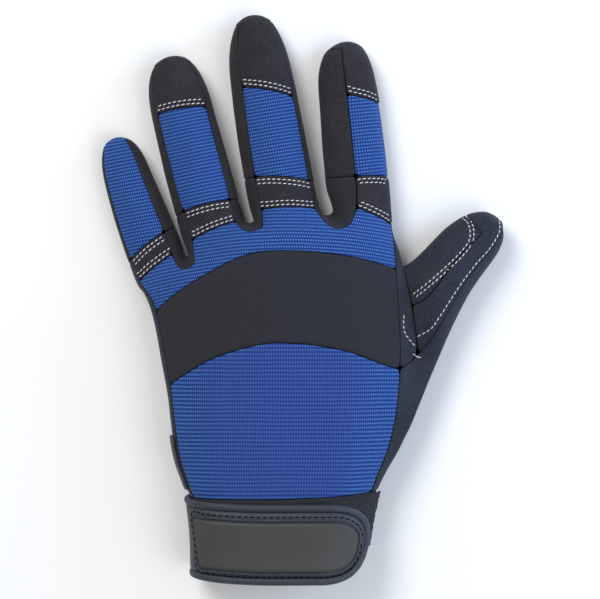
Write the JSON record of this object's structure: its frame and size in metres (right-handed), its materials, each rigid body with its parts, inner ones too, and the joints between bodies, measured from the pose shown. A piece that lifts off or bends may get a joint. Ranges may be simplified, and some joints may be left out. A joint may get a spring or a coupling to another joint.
{
  "type": "mechanic glove",
  "caption": "Left-hand work glove with a ribbed stretch back, suede palm, fingertip caps, knuckle straps and a wrist strap, lying palm down.",
  "frame": {"origin": "the middle of the flat of the palm, where the glove rests", "axes": "+Z out of the back of the hand, +Y towards the fingertips, +X towards the thumb"},
  "size_m": [0.1716, 0.2421, 0.0347],
  "materials": {
    "knit": "ribbed blue knit with a faint sheen",
    "suede": "matt black synthetic suede",
    "stretch": "matt black stretch cloth",
    "binding": "smooth dark binding tape",
    "rubber": "matt charcoal moulded patch",
    "loop": "fuzzy black loop cloth"
  },
  "bodies": {
    "root": {"back_lower": "knit", "back_upper": "knit", "cuff": "stretch", "finger_back_index": "knit", "finger_back_little": "knit", "finger_back_middle": "knit", "finger_back_ring": "knit", "finger_left_index": "suede", "finger_left_little": "suede", "finger_left_middle": "suede", "finger_left_ring": "suede", "finger_right_index": "suede", "finger_right_little": "suede", "finger_right_middle": "suede", "finger_right_ring": "suede", "fingertip_index": "suede", "fingertip_middle": "suede", "fingertip_ring": "suede", "gusset_little_ring": "stretch", "gusset_middle_index": "stretch", "gusset_ring_middle": "stretch", "knuckle_band": "stretch", "knuckle_tab_index": "suede", "knuckle_tab_little": "suede", "knuckle_tab_middle": "suede", "knuckle_tab_ring": "suede", "loop_pad": "loop", "palm": "suede", "side_edge": "binding", "strap_binding": "binding", "strap_body": "binding", "strap_patch": "rubber", "thumb_inner": "suede", "thumb_outer": "suede", "thumb_patch": "suede"}
  },
  "joints": []
}
